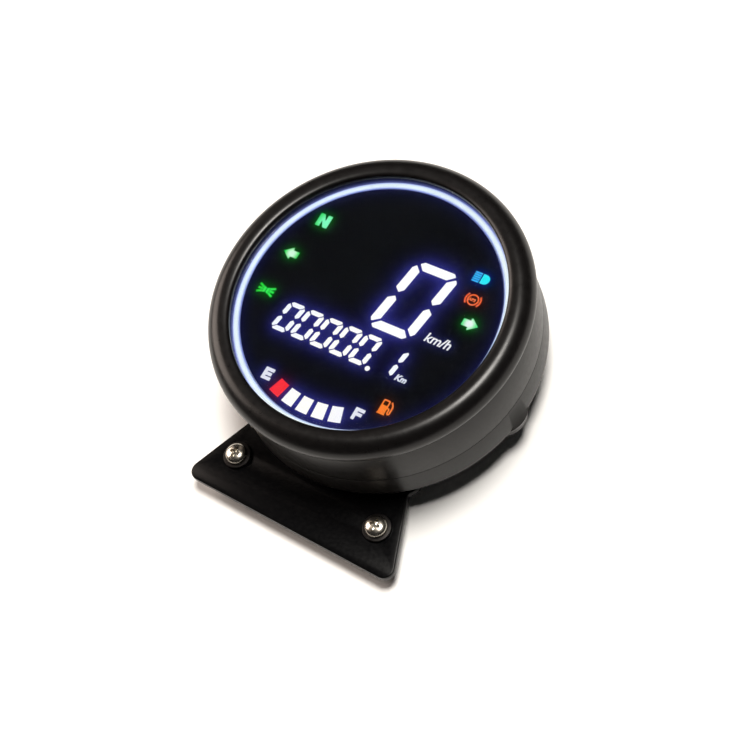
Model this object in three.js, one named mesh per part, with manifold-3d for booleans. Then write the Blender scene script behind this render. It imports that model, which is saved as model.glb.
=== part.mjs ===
// Round motorcycle instrument cluster with a lit dial, a rear mode button and a flat sheet-metal bracket.
// Millimetres, +Z up out of the dial, 12 o'clock along +Y.
// The origin is where the dial's axis meets the back face of the bracket plate.
import * as THREE from 'three';
import { mergeVertices } from 'three/addons/utils/BufferGeometryUtils.js';
import Module from 'manifold-3d';

const wasm = await Module();
wasm.setup();

// ---- driving dimensions ----
const gap = 0.3; // clearance between neighbouring pieces
const plateThick = 2.6;
const dialZ = 35.4; // face of the dial above the bracket's back face
const ringSegments = 56;
const smallSegments = 20;

const bezelSkirtR = 51.1;
const bezelBulgeR = 52.7;
const bezelCrestR = 47.6;
const bezelLipR = 45;
const bezelInnerR = 48.3;
const bezelFootZ = dialZ - 2.2;
const bezelBulgeZ = dialZ + 0.6;
const bezelCrestZ = dialZ + 5.6;
const lipUnderZ = dialZ + 3.1;

const lensR = 47.6;
const lensThick = 1.3;
const lensTopZ = lipUnderZ - gap;
const lensBaseZ = lensTopZ - lensThick;
const lensGasketThick = 0.5;
const lensGasketTopZ = lensBaseZ - gap;
const lensGasketBaseZ = lensGasketTopZ - lensGasketThick;

const guideOuterR = 44.6;
const guideInnerR = 42.4;
const trimWallR = 45.9;
const trimOuterR = bezelInnerR - gap;
const carrierR = 47.8;
const carrierTopZ = dialZ - 4.7;
const carrierThick = 2.3;
const carrierBaseZ = carrierTopZ - carrierThick;
const stackBaseZ = carrierTopZ + gap;

const boardR = 46.5;
const boardThick = 1.6;
const boardTopZ = carrierBaseZ - 1.8;
const boardBaseZ = boardTopZ - boardThick;

const housingTopR = 51.1;
const jointR = 51.65; // radius where the housing meets the rear cover
const jointZ = 17.65; // middle of the parting line
const housingWall = 2.2;
const rearRimR = 52;
const rearRimZ = 8.6;
const rearRound = 4.4;
const rearFaceZ = rearRimZ - rearRound;
const coverFloor = 2.4;
const coverInsideZ = rearFaceZ + coverFloor;

const coverScrewAngles = [45, 135, 225, 315];
const coverScrewPitchR = 43.4;
const coverBossR = 4.5;
const coverPilotR = 1.8;
const boardPostAngles = [90, 210, 330];
const boardPostPitchR = 38;
const boardPostHoleR = 1.5;
const ledAngles = [20, 80, 140, 200, 260, 320];

const buttonPitchR = 44.2;
const buttonAngle = THREE.MathUtils.degToRad(-6.4);
const buttonX = buttonPitchR * Math.cos(buttonAngle);
const buttonY = buttonPitchR * Math.sin(buttonAngle);
const buttonBossR = 8;
const buttonBoreR = 5.8;
const buttonCapR = 4.6;
const buttonStemR = 1.8;
const buttonWebZ = 12;
const buttonWebThick = 2.3;
const buttonCapBaseZ = 1.7;
const buttonCapTopZ = 6.4;
const buttonStemTopZ = 20;

const socketY = 33;
const socketWide = 22;
const socketDeep = 10;
const socketWall = 1;
const socketMouthZ = -4.5;
const socketFloorZ = 4;
const socketTopZ = 9;
const pinR = 0.6;
const pinPitchX = 5.5;
const pinPitchY = 4;
const ventPlace = [-21, 35.5];
const ventCapR = 4;
const ventStemR = 2.6;

const studX = 22;
const studY = 6;
const studR = 2.5;
const studHeadR = 4.5;
const studHeadThick = 2.5;
const studWasherR = 5;
const studWasherThick = 1;
const studNutThick = 3.6;
const seatR = 5.9; // shallow seats in the plate's back take the stud washers
const seatDepth = 0.4;
const restZ = -6; // every bolt end stands on this level

const bracketTurn = THREE.MathUtils.degToRad(-1.9); // the plate sits slightly turned under the dial
const screwHalfSpacing = 28;
const screwY = -54.7;
const screwR = 2;
const screwHeadR = 3.65;
const screwHeadHigh = 2.2;
const bracketWasherR = 4.7;
const bracketWasherThick = 0.8;
const bracketNutThick = 3.2;
const carrierSheet = 2; // room for the sheet that the bracket's foot is screwed to
const plateFootY = -68;
const plateFootHalf = 41.8;
const plateNeckY = -40.4;
const plateNeckHalf = 30.6;
const plateShoulderHalf = 32.4;
const plateTopY = 21;

// ---- materials ----
function finish(color, roughness, metalness) {
  return new THREE.MeshStandardMaterial({ color, roughness, metalness });
}
const satinBlack = finish(0x2a2a2c, 0.42, 0.3);
const satinGrey = finish(0x45464a, 0.42, 0.4);
const blackPlastic = finish(0x141416, 0.5, 0);
const blackRubber = finish(0x101010, 0.85, 0);
const clearPlastic = finish(0xdfe6f2, 0.08, 0);
const glowWhite = finish(0xe6eeff, 0.4, 0);
const maskFilm = finish(0x0a0b16, 0.25, 0);
const whitePlastic = finish(0xe6e6e2, 0.6, 0);
const boardGreen = finish(0x14442a, 0.5, 0);
const chipBlack = finish(0x17171a, 0.55, 0);
const brightSteel = finish(0xc8c8c6, 0.25, 1);
const darkSteel = finish(0x2b2b2d, 0.4, 0.8);
const goldPlate = finish(0xc9a24a, 0.3, 1);
const blackPlate = finish(0x0c0c0e, 0.38, 0.5);

const cluster = new THREE.Group();

// ---- helpers ----
function place(name, geometry, material, x = 0, y = 0, z = 0, parent = cluster) {
  const mesh = new THREE.Mesh(geometry, material);
  mesh.name = name;
  mesh.position.set(x, y, z);
  parent.add(mesh);
  return mesh;
}

function toSolid(geometry) {
  const bare = geometry.clone();
  bare.deleteAttribute('normal');
  bare.deleteAttribute('uv');
  const merged = mergeVertices(bare);
  return new wasm.Manifold(new wasm.Mesh({
    numProp: 3,
    vertProperties: new Float32Array(merged.attributes.position.array),
    triVerts: new Uint32Array(merged.index.array),
  }));
}

function fromSolid(solid) {
  const mesh = solid.getMesh();
  const geometry = new THREE.BufferGeometry();
  geometry.setAttribute('position', new THREE.BufferAttribute(mesh.vertProperties, 3));
  geometry.setIndex(new THREE.BufferAttribute(mesh.triVerts, 1));
  geometry.computeVertexNormals();
  return geometry;
}

// Joins the added pieces to the base, then takes the cutters away.
function shaped(base, added, cutters) {
  let solid = toSolid(base);
  for (const piece of added) solid = solid.add(toSolid(piece));
  for (const piece of cutters) solid = solid.subtract(toSolid(piece));
  return fromSolid(solid);
}

// Profiles are [radius, height] pairs that run anticlockwise.
function turned(profile, segments = ringSegments) {
  const geometry = new THREE.LatheGeometry(profile.map(([r, z]) => new THREE.Vector2(r, z)), segments);
  return geometry.rotateX(Math.PI / 2);
}

function ring(profile, segments = ringSegments) {
  return turned([...profile, profile[0]], segments);
}

function flatRing(innerR, outerR, baseZ, topZ, segments = ringSegments) {
  return ring([[innerR, baseZ], [outerR, baseZ], [outerR, topZ], [innerR, topZ]], segments);
}

function rod(radius, baseZ, topZ, x = 0, y = 0, segments = smallSegments) {
  const geometry = new THREE.CylinderGeometry(radius, radius, topZ - baseZ, segments);
  return geometry.rotateX(Math.PI / 2).translate(x, y, (baseZ + topZ) / 2);
}

function block(wide, deep, baseZ, topZ, x = 0, y = 0, turn = 0) {
  const geometry = new THREE.BoxGeometry(wide, deep, topZ - baseZ);
  return geometry.rotateZ(turn).translate(x, y, (baseZ + topZ) / 2);
}

function slab(outline, baseZ, topZ, curveSegments = smallSegments) {
  const options = { depth: topZ - baseZ, bevelEnabled: false, curveSegments };
  return new THREE.ExtrudeGeometry(outline, options).translate(0, 0, baseZ);
}

function circleHole(x, y, radius) {
  return new THREE.Path().absarc(x, y, radius, 0, 2 * Math.PI, true);
}

function polar(radius, degrees) {
  const angle = THREE.MathUtils.degToRad(degrees);
  return [radius * Math.cos(angle), radius * Math.sin(angle)];
}

// A polygon whose corners are rounded by quadratic curves; each corner is [x, y, cut-back length].
function roundedOutline(corners) {
  const outline = new THREE.Shape();
  const count = corners.length;
  for (let i = 0; i < count; i += 1) {
    const corner = new THREE.Vector2(corners[i][0], corners[i][1]);
    const before = new THREE.Vector2(...corners[(i + count - 1) % count].slice(0, 2));
    const after = new THREE.Vector2(...corners[(i + 1) % count].slice(0, 2));
    const cutBack = corners[i][2];
    const start = corner.clone().add(before.sub(corner).setLength(cutBack));
    const end = corner.clone().add(after.sub(corner).setLength(cutBack));
    if (i === 0) outline.moveTo(start.x, start.y);
    else outline.lineTo(start.x, start.y);
    outline.quadraticCurveTo(corner.x, corner.y, end.x, end.y);
  }
  outline.closePath();
  return outline;
}

function hexNut(acrossFlats, holeR, baseZ, topZ) {
  const outline = new THREE.Shape();
  const cornerR = acrossFlats / Math.sqrt(3);
  for (let i = 0; i < 6; i += 1) {
    const [x, y] = polar(cornerR, 60 * i + 30);
    if (i === 0) outline.moveTo(x, y);
    else outline.lineTo(x, y);
  }
  outline.closePath();
  outline.holes.push(circleHole(0, 0, holeR));
  return slab(outline, baseZ, topZ, 8);
}

// A domed cross-head screw whose head stands on height zero and whose shank runs down.
function domedScrew(headR, headHeight, shankR, length) {
  const dome = new THREE.Path();
  dome.moveTo(0, -length);
  dome.lineTo(shankR, -length);
  dome.lineTo(shankR, 0);
  dome.lineTo(headR, 0);
  dome.lineTo(headR, headHeight * 0.3);
  dome.quadraticCurveTo(headR * 0.85, headHeight, 0, headHeight);
  const body = turned(dome.getPoints(5).map((p) => [Math.max(p.x, 0), p.y]), 24);
  const slotLong = headR * 1.1;
  const slotWide = headR * 0.24;
  const slotBaseZ = headHeight * 0.35;
  const slotTopZ = headHeight + 1;
  const cutters = [0, Math.PI / 2].map((turn) => block(slotLong, slotWide, slotBaseZ, slotTopZ, 0, 0, turn));
  return shaped(body, [], cutters);
}

// ---- front group: bezel, lens and what lies under it ----
function buildFront() {
  const bezel = new THREE.Path();
  const skirtPull = [bezelSkirtR + 1, bezelFootZ + 0.6, bezelBulgeR, bezelBulgeZ - 1.3];
  const shoulderPull = [bezelBulgeR, bezelBulgeZ + 2.6, bezelCrestR + 2.6, bezelCrestZ];
  const lipPull = [bezelCrestR - 1.6, bezelCrestZ, bezelLipR, bezelCrestZ - 0.3];
  bezel.moveTo(bezelInnerR, bezelFootZ);
  bezel.lineTo(bezelSkirtR, bezelFootZ);
  bezel.bezierCurveTo(...skirtPull, bezelBulgeR, bezelBulgeZ);
  bezel.bezierCurveTo(...shoulderPull, bezelCrestR, bezelCrestZ);
  bezel.bezierCurveTo(...lipPull, bezelLipR, bezelCrestZ - 1.2);
  bezel.lineTo(bezelLipR, lipUnderZ);
  bezel.lineTo(bezelInnerR, lipUnderZ);
  place('bezel_ring', ring(bezel.getPoints(5).map((p) => [p.x, p.y])), satinBlack);

  place('front_lens', rod(lensR, lensBaseZ, lensTopZ, 0, 0, ringSegments), clearPlastic);
  place('lens_gasket', flatRing(46.3, 47.9, lensGasketBaseZ, lensGasketTopZ), blackRubber);

  const trimTopZ = lensGasketBaseZ - gap;
  const trimFootR = guideOuterR + gap;
  place('inner_trim_ring', ring([
    [trimFootR, stackBaseZ],
    [trimOuterR, stackBaseZ],
    [trimOuterR, trimTopZ],
    [trimWallR, trimTopZ],
    [trimWallR, dialZ],
    [trimFootR, dialZ],
  ]), blackPlastic);

  place('light_guide_ring', flatRing(guideInnerR, guideOuterR, stackBaseZ, dialZ), glowWhite);
  place('dial_mask', rod(guideInnerR - gap, dialZ - 1, dialZ, 0, 0, ringSegments), maskFilm);
  place('display_panel', block(66, 48, dialZ - 4, dialZ - 1 - gap), blackPlastic);
}

// ---- electronics: carrier, board and what is soldered to it ----
function buildElectronics() {
  const ledPitchR = (guideInnerR + guideOuterR) / 2;
  const carrierPlate = rod(carrierR, carrierBaseZ, carrierTopZ, 0, 0, ringSegments);
  const window = block(58, 40, carrierBaseZ - 1, carrierTopZ + 1);
  const lightHoles = ledAngles.map((angle) => (
    rod(1.5, carrierBaseZ - 1, carrierTopZ + 1, ...polar(ledPitchR, angle), 8)));
  const posts = boardPostAngles.map((angle) => (
    rod(2 * boardPostHoleR, boardTopZ + gap, carrierBaseZ + 0.5, ...polar(boardPostPitchR, angle), 12)));
  const postHoles = boardPostAngles.map((angle) => (
    rod(boardPostHoleR, boardTopZ, carrierTopZ - 0.6, ...polar(boardPostPitchR, angle), 8)));
  place('display_carrier', shaped(carrierPlate, posts, [window, ...lightHoles, ...postHoles]), whitePlastic);

  const boardPlate = rod(boardR, boardBaseZ, boardTopZ, 0, 0, ringSegments);
  const boardHoles = boardPostAngles.map((angle) => (
    rod(boardPostHoleR, boardBaseZ - 1, boardTopZ + 1, ...polar(boardPostPitchR, angle), 8)));
  place('main_circuit_board', shaped(boardPlate, [], boardHoles), boardGreen);

  const ledHigh = 1.2;
  ledAngles.forEach((angle, i) => {
    const led = new THREE.BoxGeometry(2.4, 3.2, ledHigh);
    const [x, y] = polar(ledPitchR, angle);
    const mesh = place(`ring_led_${i + 1}`, led, glowWhite, x, y, boardTopZ + gap + ledHigh / 2);
    mesh.rotation.z = THREE.MathUtils.degToRad(angle);
  });

  const boardScrewR = boardPostHoleR - gap;
  const boardScrewEndZ = carrierTopZ - 1.2;
  boardPostAngles.forEach((angle, i) => {
    const headTopZ = boardBaseZ - gap;
    const headBaseZ = headTopZ - 1.8;
    const screw = turned([[0, headBaseZ], [2 * boardScrewR, headBaseZ], [2 * boardScrewR, headTopZ],
      [boardScrewR, headTopZ], [boardScrewR, boardScrewEndZ], [0, boardScrewEndZ]], 12);
    const [x, y] = polar(boardPostPitchR, angle);
    place(`board_screw_${i + 1}`, screw, brightSteel, x, y);
  });

  const undersideZ = boardBaseZ - gap;
  place('processor_chip', block(12, 12, undersideZ - 1.6, undersideZ, -8, 2), chipBlack);
  place('voltage_regulator', block(9, 10, undersideZ - 2.4, undersideZ, 18, 12), chipBlack);
  for (const side of [-1, 1]) {
    const index = side < 0 ? 1 : 2;
    place(`capacitor_${index}`, rod(3.4, undersideZ - 8, undersideZ, side * 5 + 18, -10), chipBlack);
  }
  place('board_header', block(20, 6, undersideZ - 6, undersideZ, 0, socketY - 4), whitePlastic);
  const switchBaseZ = buttonStemTopZ + 1.2;
  place('mode_switch', block(5, 5, switchBaseZ, undersideZ, buttonX, buttonY, buttonAngle), chipBlack);
}

// ---- casing: housing, gasket, rear cover and its fittings ----
function buildHousing() {
  const baseZ = jointZ + gap / 2;
  const innerR = jointR - housingWall;
  const ledgeTopZ = carrierBaseZ - gap;
  const shell = ring([
    [innerR, baseZ],
    [jointR, baseZ],
    [housingTopR, bezelFootZ - gap],
    [bezelInnerR + 0.6, bezelFootZ - gap],
    [bezelInnerR + 0.6, ledgeTopZ],
    [boardR + 0.4, ledgeTopZ],
    [boardR + 0.4, ledgeTopZ - 1.2],
    [innerR, ledgeTopZ - 3.5],
  ]);
  const bossTopZ = boardBaseZ - 0.6;
  const added = [];
  const cutters = [];
  for (const degrees of coverScrewAngles) {
    const [x, y] = polar(coverScrewPitchR, degrees);
    const [webX, webY] = polar(coverScrewPitchR + 3.4, degrees);
    added.push(rod(coverBossR, baseZ, bossTopZ, x, y));
    added.push(block(6.4, 5, baseZ, bossTopZ, webX, webY, THREE.MathUtils.degToRad(degrees)));
    cutters.push(rod(coverPilotR, baseZ - 1, bossTopZ - 1, x, y, 12));
  }
  place('front_housing', shaped(shell, added, cutters), satinGrey);
}

function buildRearCover() {
  const topZ = jointZ - gap / 2;
  const stepZ = topZ - 1.2;
  const innerR = jointR - housingWall - 0.25;
  const screwHeadPocketR = 3.4;
  const profile = new THREE.Path();
  profile.moveTo(0, rearFaceZ);
  profile.lineTo(rearRimR - rearRound, rearFaceZ);
  profile.absarc(rearRimR - rearRound, rearRimZ, rearRound, -Math.PI / 2, 0, false);
  profile.lineTo(jointR, topZ);
  profile.lineTo(jointR - 1, topZ);
  profile.lineTo(jointR - 1, stepZ);
  profile.lineTo(innerR, stepZ);
  profile.lineTo(innerR + 0.2, rearRimZ);
  profile.lineTo(innerR - 2, coverInsideZ);
  profile.lineTo(0, coverInsideZ);
  const shell = turned(profile.getPoints(3).map((p) => [p.x, p.y]));

  const added = [];
  const cutters = [];
  for (const degrees of coverScrewAngles) {
    const [x, y] = polar(coverScrewPitchR, degrees);
    added.push(rod(coverBossR, coverInsideZ - 0.5, topZ, x, y));
    cutters.push(rod(coverPilotR, rearFaceZ - 1, topZ + 1, x, y, 12));
    cutters.push(rod(screwHeadPocketR, rearFaceZ - 1, coverInsideZ, x, y));
  }
  // The button's tube runs through the floor; its web guides the stem.
  const webTopZ = buttonWebZ + buttonWebThick;
  added.push(rod(buttonBossR, plateThick, webTopZ, buttonX, buttonY, 32));
  cutters.push(rod(buttonBoreR, plateThick - 1, buttonWebZ, buttonX, buttonY, 24));
  cutters.push(rod(buttonStemR + 0.35, buttonWebZ - 1, webTopZ + 1, buttonX, buttonY, 16));
  for (const side of [-1, 1]) cutters.push(rod(studR + gap, 0, coverInsideZ + 1, side * studX, studY));
  cutters.push(block(socketWide + 2 * gap, socketDeep + 2 * gap, 0, coverInsideZ + 1, 0, socketY));
  cutters.push(rod(ventStemR + gap, 0, coverInsideZ + 1, ...ventPlace));
  place('rear_cover', shaped(shell, added, cutters), satinGrey);

  place('housing_gasket', flatRing(innerR + 0.1, jointR - 1 - gap, stepZ + gap, topZ), blackRubber);

  const headR = screwHeadPocketR - 0.4;
  const shankR = coverPilotR - 0.35;
  const headBaseZ = rearFaceZ + 0.2;
  const headTopZ = coverInsideZ - gap;
  const screwEndZ = boardBaseZ - 2.4;
  coverScrewAngles.forEach((degrees, i) => {
    const screw = turned([[0, headBaseZ], [headR, headBaseZ], [headR, headTopZ], [shankR, headTopZ],
      [shankR, screwEndZ], [0, screwEndZ]], 16);
    const [x, y] = polar(coverScrewPitchR, degrees);
    place(`cover_screw_${i + 1}`, screw, brightSteel, x, y);
  });
}

function buildVent() {
  const capBaseZ = rearFaceZ - 1.6;
  const stemTopZ = coverInsideZ + 1.2;
  const vent = turned([[0, capBaseZ], [ventCapR, capBaseZ], [ventCapR, rearFaceZ - gap],
    [ventStemR, rearFaceZ - gap], [ventStemR, stemTopZ], [0, stemTopZ]], 24);
  place('breather_vent', vent, blackPlastic, ...ventPlace);
}

// ---- rear wiring socket with its contacts ----
function buildSocket() {
  const flangeTopZ = rearFaceZ - gap;
  const body = block(socketWide, socketDeep, socketMouthZ, socketTopZ, 0, socketY);
  const flange = block(socketWide + 5, socketDeep + 5, flangeTopZ - 1.6, flangeTopZ, 0, socketY);
  const cavityWide = socketWide - 2 * socketWall;
  const cavityDeep = socketDeep - 2 * socketWall;
  const cavity = block(cavityWide, cavityDeep, socketMouthZ - 1, socketFloorZ, 0, socketY);
  const pinPlaces = [];
  for (const row of [-1, 1]) {
    for (const column of [-1, 0, 1]) pinPlaces.push([column * pinPitchX, socketY + row * pinPitchY / 2]);
  }
  const pinHoles = pinPlaces.map(([x, y]) => rod(pinR + gap, socketFloorZ - 1, socketTopZ + 1, x, y, 8));
  place('connector_socket', shaped(body, [flange], [cavity, ...pinHoles]), blackPlastic);
  pinPlaces.forEach(([x, y], i) => {
    place(`connector_pin_${i + 1}`, rod(pinR, 0.6, socketTopZ + 3, x, y, 8), goldPlate);
  });
}

// ---- mode button with its spring, clip and seal ----
function springCoil(meanR, wireR, turns, baseZ, topZ) {
  const stepsPerTurn = 12;
  const steps = turns * stepsPerTurn;
  const points = [];
  for (let i = 0; i <= steps; i += 1) {
    const share = i / steps;
    const angle = share * turns * 2 * Math.PI;
    const z = baseZ + wireR + share * (topZ - baseZ - 2 * wireR);
    points.push(new THREE.Vector3(meanR * Math.cos(angle), meanR * Math.sin(angle), z));
  }
  const wire = new THREE.Shape().absarc(0, 0, wireR, 0, 2 * Math.PI, false);
  const extrudePath = new THREE.CatmullRomCurve3(points);
  return new THREE.ExtrudeGeometry(wire, { steps, curveSegments: 3, bevelEnabled: false, extrudePath });
}

function buildButton() {
  const button = new THREE.Group();
  button.position.set(buttonX, buttonY, 0);
  cluster.add(button);
  const capEdge = 0.8;
  place('mode_button', turned([
    [0, buttonCapBaseZ],
    [buttonCapR - capEdge, buttonCapBaseZ],
    [buttonCapR, buttonCapBaseZ + capEdge],
    [buttonCapR, buttonCapTopZ],
    [buttonStemR, buttonCapTopZ],
    [buttonStemR, buttonStemTopZ],
    [0, buttonStemTopZ],
  ], 24), blackRubber, 0, 0, 0, button);
  const clipBaseZ = buttonWebZ + buttonWebThick + gap;
  const clip = flatRing(buttonStemR + gap, 3.4, clipBaseZ, clipBaseZ + 0.8, 20);
  place('button_clip', clip, brightSteel, 0, 0, 0, button);
  const spring = springCoil(3.1, 0.35, 4, buttonCapTopZ + gap, buttonWebZ - gap);
  place('button_spring', spring, brightSteel, 0, 0, 0, button);
  const sealBaseZ = plateThick + 0.8;
  const seal = flatRing(buttonCapR + gap, buttonBoreR - gap, sealBaseZ, sealBaseZ + 1.2, 24);
  place('button_seal', seal, blackRubber, 0, 0, 0, button);
}

// ---- bracket plate, its two front screws and the studs that hold the gauge ----
function buildStuds() {
  for (const side of [-1, 1]) {
    const hand = side < 0 ? 'left' : 'right';
    const headBaseZ = coverInsideZ + gap;
    const headTopZ = headBaseZ + studHeadThick;
    const stud = turned([[0, restZ], [studR, restZ], [studR, headBaseZ], [studHeadR, headBaseZ],
      [studHeadR, headTopZ], [0, headTopZ]], 20);
    place(`mounting_stud_${hand}`, stud, brightSteel, side * studX, studY);
    const cushion = flatRing(studR + gap, 7.5, plateThick + gap, rearFaceZ - gap, 28);
    place(`rubber_washer_${hand}`, cushion, blackRubber, side * studX, studY);
    const washerTopZ = seatDepth - gap;
    const washerBaseZ = washerTopZ - studWasherThick;
    const nutTopZ = washerBaseZ - gap;
    const washer = flatRing(studR + gap, studWasherR, washerBaseZ, washerTopZ, 24);
    place(`stud_washer_${hand}`, washer, brightSteel, side * studX, studY);
    const nut = hexNut(8, studR + gap, nutTopZ - studNutThick, nutTopZ);
    place(`stud_nut_${hand}`, nut, brightSteel, side * studX, studY);
  }
}

function buildBracket() {
  const bracket = new THREE.Group();
  bracket.rotation.z = bracketTurn;
  cluster.add(bracket);
  const outline = roundedOutline([
    [-plateFootHalf, plateFootY, 4.2],
    [plateFootHalf, plateFootY, 4.2],
    [plateNeckHalf, plateNeckY, 1.2],
    [plateShoulderHalf, plateNeckY + 2.8, 1.2],
    [plateShoulderHalf, plateTopY, 12],
    [-plateShoulderHalf, plateTopY, 12],
    [-plateShoulderHalf, plateNeckY + 2.8, 1.2],
    [-plateNeckHalf, plateNeckY, 1.2],
  ]);
  const seats = [];
  for (const side of [-1, 1]) {
    outline.holes.push(circleHole(side * screwHalfSpacing, screwY, screwR + gap));
    const stud = new THREE.Vector2(side * studX, studY).rotateAround(new THREE.Vector2(), -bracketTurn);
    outline.holes.push(circleHole(stud.x, stud.y, studR + gap));
    seats.push(rod(seatR, -1, seatDepth, stud.x, stud.y, 28));
  }
  place('bracket_plate', shaped(slab(outline, 0, plateThick, 6), [], seats), blackPlate, 0, 0, 0, bracket);

  for (const side of [-1, 1]) {
    const hand = side < 0 ? 'left' : 'right';
    const x = side * screwHalfSpacing;
    const washerBaseZ = plateThick + gap;
    const washerTopZ = washerBaseZ + bracketWasherThick;
    const headBaseZ = washerTopZ + gap;
    const washer = flatRing(screwR + gap, bracketWasherR, washerBaseZ, washerTopZ, 28);
    place(`bracket_washer_${hand}`, washer, darkSteel, x, screwY, 0, bracket);
    const screw = domedScrew(screwHeadR, screwHeadHigh, screwR, headBaseZ - restZ);
    place(`bracket_screw_${hand}`, screw, brightSteel, x, screwY, headBaseZ, bracket);
    const nutTopZ = -carrierSheet - gap;
    const nut = hexNut(7, screwR + gap, nutTopZ - bracketNutThick, nutTopZ);
    place(`bracket_nut_${hand}`, nut, brightSteel, x, screwY, 0, bracket);
  }
}

buildFront();
buildElectronics();
buildHousing();
buildRearCover();
buildVent();
buildSocket();
buildButton();
buildStuds();
buildBracket();

export default cluster;
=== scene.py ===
import bmesh
import bpy
import numpy as np
from math import atan2, ceil, cos, pi, radians, sin, sqrt, tan
from mathutils import Matrix, Vector


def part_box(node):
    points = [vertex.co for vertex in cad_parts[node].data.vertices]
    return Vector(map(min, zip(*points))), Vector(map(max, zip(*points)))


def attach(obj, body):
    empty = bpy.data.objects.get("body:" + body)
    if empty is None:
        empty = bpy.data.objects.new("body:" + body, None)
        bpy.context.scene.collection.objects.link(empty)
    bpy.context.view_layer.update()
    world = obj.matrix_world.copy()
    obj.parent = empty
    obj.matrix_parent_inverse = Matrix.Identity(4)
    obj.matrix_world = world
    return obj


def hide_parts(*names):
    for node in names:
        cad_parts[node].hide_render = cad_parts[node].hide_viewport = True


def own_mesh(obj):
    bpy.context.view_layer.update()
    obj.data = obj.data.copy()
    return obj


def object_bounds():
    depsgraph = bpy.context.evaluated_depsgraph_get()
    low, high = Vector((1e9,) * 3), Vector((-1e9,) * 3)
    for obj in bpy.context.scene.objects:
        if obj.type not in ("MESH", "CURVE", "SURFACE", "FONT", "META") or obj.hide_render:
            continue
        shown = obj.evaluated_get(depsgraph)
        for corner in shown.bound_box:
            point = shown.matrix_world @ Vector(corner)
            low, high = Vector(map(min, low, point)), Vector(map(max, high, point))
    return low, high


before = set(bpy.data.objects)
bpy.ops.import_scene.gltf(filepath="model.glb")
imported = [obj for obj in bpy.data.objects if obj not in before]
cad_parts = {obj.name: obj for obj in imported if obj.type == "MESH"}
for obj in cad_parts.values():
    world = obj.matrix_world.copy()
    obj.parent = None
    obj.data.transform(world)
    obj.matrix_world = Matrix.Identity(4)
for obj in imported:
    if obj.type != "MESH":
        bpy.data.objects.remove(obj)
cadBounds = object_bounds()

# Round motorcycle gauge: lit dial under a clear window, turned bezel, drum casing and a flat bracket.
# Meshes are drawn in millimetres in the frame's own axes and brought to metres when a piece is finished.
mm = 0.001
scene = bpy.context.scene
gaugeBody, buttonBody = "gauge", "button"


def boxOf(node):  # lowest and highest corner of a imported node, in millimetres
    low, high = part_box(node)
    return low / mm, high / mm


def middleOf(node):
    return sum(boxOf(node), Vector()) / 2


bezelLow, bezelHigh = boxOf("bezel_ring")
housingLow, housingHigh = boxOf("front_housing")
coverLow, coverHigh = boxOf("rear_cover")
lensLow, lensHigh = boxOf("front_lens")
guideLow, guideHigh = boxOf("light_guide_ring")
trimLow, trimHigh = boxOf("inner_trim_ring")
dialLow, dialHigh = boxOf("dial_mask")
plateLow, plateHigh = boxOf("bracket_plate")
restZ = cadBounds[0].z / mm
dialTop = dialHigh.z
screwLeft = middleOf("bracket_screw_left")
screwRight = middleOf("bracket_screw_right")
bracketTurn = atan2(screwRight.y - screwLeft.y, screwRight.x - screwLeft.x)
print("frame read:", len(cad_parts), "nodes, dial at", round(dialTop, 2), "mm")


# ---- node helpers ----
def linear(hexColour, alpha=1.0):  # an sRGB hex colour as linear values
    parts = [int(hexColour[i:i + 2], 16) / 255 for i in (0, 2, 4)]
    return [c / 12.92 if c <= 0.04045 else ((c + 0.055) / 1.055) ** 2.4 for c in parts] + [alpha]


def addNode(tree, kind, settings=None, links=None):  # kind is the node's type without the tree's own prefix
    node = tree.nodes.new(kind if "Node" in kind else tree.bl_idname.removesuffix("Tree") + kind)
    for key, value in (settings or {}).items():
        if isinstance(key, str) and hasattr(node, key):
            setattr(node, key, value)
        else:
            node.inputs[key].default_value = value
    for key, source in (links or {}).items():
        if isinstance(source, bpy.types.Node):  # a node stands for its first output in use
            source = next(socket for socket in source.outputs if socket.enabled)
        tree.links.new(source, node.inputs[key])
    return node


def blankMaterial(name):  # a material with an empty tree, and the place of each point in its object
    material = bpy.data.materials.new(name)
    material.use_nodes = True
    tree = material.node_tree
    tree.nodes.clear()
    return material, tree, addNode(tree, "TexCoord").outputs["Object"]


def addSurface(tree, settings, links):  # the shader, and the output that shows it
    shader = addNode(tree, "BsdfPrincipled", settings, links)
    addNode(tree, "OutputMaterial", None, {"Surface": shader})


def solidFinish(name, tones, grain, roughness, relief=0.02, reliefGrain=None, stretch=(1, 1, 1), metallic=0.0,
        ior=1.5, level=0.5):
    # Two close tones and a roughness that drift over `grain` mm, with a moulded or sprayed relief under them.
    material, tree, place = blankMaterial(name)
    stretched = addNode(tree, "Mapping", {"Scale": stretch}, {"Vector": place})
    drift = addNode(tree, "TexNoise", {"Scale": 1 / (grain * mm), "Detail": 4.0, "Roughness": 0.6},
        {"Vector": stretched})
    colour = addNode(tree, "Mix", {"data_type": "RGBA", 6: linear(tones[0]), 7: linear(tones[1])}, {0: drift})
    gloss = addNode(tree, "MapRange", {"From Min": 0.3, "From Max": 0.7, "To Min": roughness[0],
        "To Max": roughness[1]}, {"Value": drift})
    fine = addNode(tree, "TexNoise", {"Scale": 1 / ((reliefGrain or grain / 4) * mm)}, {"Vector": stretched})
    bump = addNode(tree, "Bump", {"Strength": 0.6, "Distance": relief * mm}, {"Height": fine})
    addSurface(tree, {"Metallic": metallic, "IOR": ior, "Specular IOR Level": level},
        {"Base Color": colour, "Roughness": gloss, "Normal": bump})
    return material


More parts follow.
